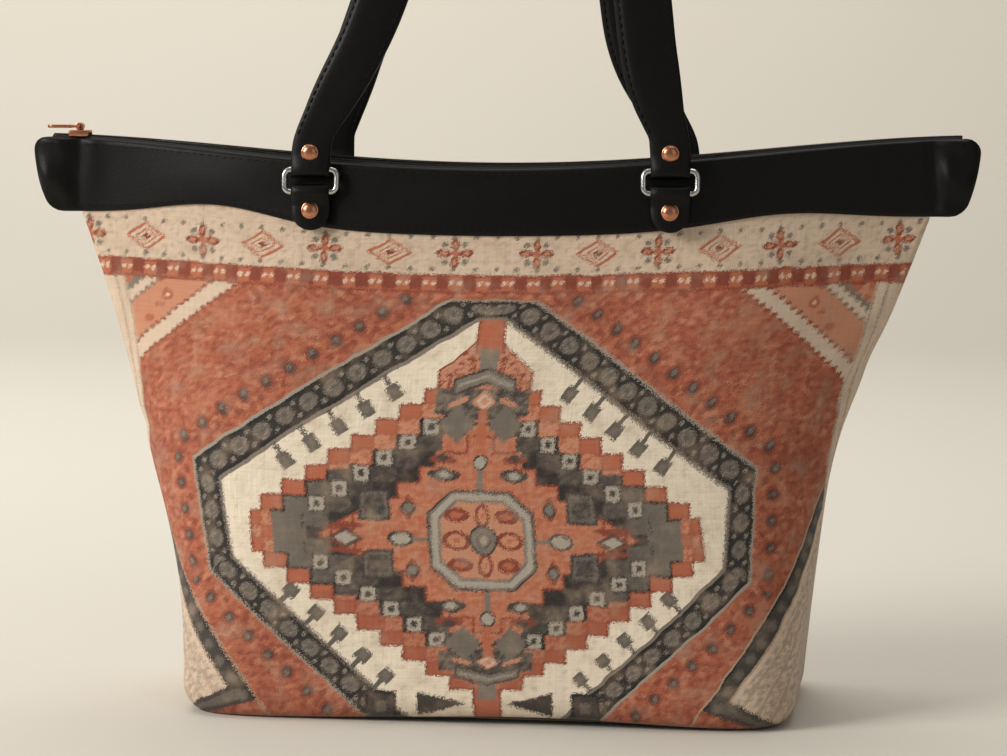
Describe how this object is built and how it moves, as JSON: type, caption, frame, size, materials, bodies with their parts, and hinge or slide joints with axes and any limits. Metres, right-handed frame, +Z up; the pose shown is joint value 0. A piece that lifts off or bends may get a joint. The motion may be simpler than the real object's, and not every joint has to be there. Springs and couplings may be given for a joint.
{
  "type": "tote bag",
  "caption": "Open-topped tote bag of printed rug-pattern cloth with a black leather band, ring-hung leather handles and a zip along its mouth.",
  "frame": {"origin": "middle of the base on the surface that the bag stands on", "axes": "+Z up, the front with the printed medallion faces -Y, +X to the right seen from the front"},
  "size_m": [0.4494, 0.1262, 0.4463],
  "materials": {
    "printed_cloth": "printed canvas in rust, cream and charcoal",
    "base_cloth": "plain charcoal canvas",
    "board": "stiff grey board",
    "lining_cloth": "plain cream cotton",
    "black_leather": "satin black grained leather",
    "zip_tape": "black woven tape",
    "zip_coil": "black moulded coil",
    "copper": "rose copper plate",
    "steel": "polished nickel"
  },
  "bodies": {
    "bag": {"front_panel": "printed_cloth", "back_panel": "printed_cloth", "base_panel": "base_cloth", "base_board": "board", "lining": "lining_cloth", "front_band": "black_leather", "back_band": "black_leather", "front_zip_tape": "zip_tape", "back_zip_tape": "zip_tape", "front_zip_coil": "zip_coil", "back_zip_coil": "zip_coil", "zip_slider": "copper", "front_left_tab": "black_leather", "front_right_tab": "black_leather", "back_left_tab": "black_leather", "back_right_tab": "black_leather", "front_tab_rivets": "copper", "back_tab_rivets": "copper"},
    "pull": {"zip_pull": "copper"},
    "front_rings": {"front_left_ring": "steel", "front_right_ring": "steel"},
    "back_rings": {"back_left_ring": "steel", "back_right_ring": "steel"},
    "front_grip": {"front_handle": "black_leather", "front_strap_rivets": "copper"},
    "back_grip": {"back_handle": "black_leather", "back_strap_rivets": "copper"}
  },
  "joints": [
    {"name": "front_ring_swing", "type": "hinge", "parent": "bag", "child": "front_rings", "pos_m": [0, -0.03053, 0.24308], "axis": [1, 0, 0], "range_deg": [0, 80]},
    {"name": "front_handle_swing", "type": "hinge", "parent": "front_rings", "child": "front_grip", "pos_m": [0, -0.02933, 0.25331], "axis": [1, 0, 0], "range_deg": [-3, 85]},
    {"name": "back_ring_swing", "type": "hinge", "parent": "bag", "child": "back_rings", "pos_m": [0, 0.03053, 0.24308], "axis": [-1, 0, 0], "range_deg": [0, 80]},
    {"name": "back_handle_swing", "type": "hinge", "parent": "back_rings", "child": "back_grip", "pos_m": [0, 0.02933, 0.25331], "axis": [-1, 0, 0], "range_deg": [-3, 85]},
    {"name": "pull_flip", "type": "hinge", "parent": "bag", "child": "pull", "pos_m": [-0.203, 0, 0.27282], "axis": [0, 1, 0], "range_deg": [0, 175]}
  ]
}
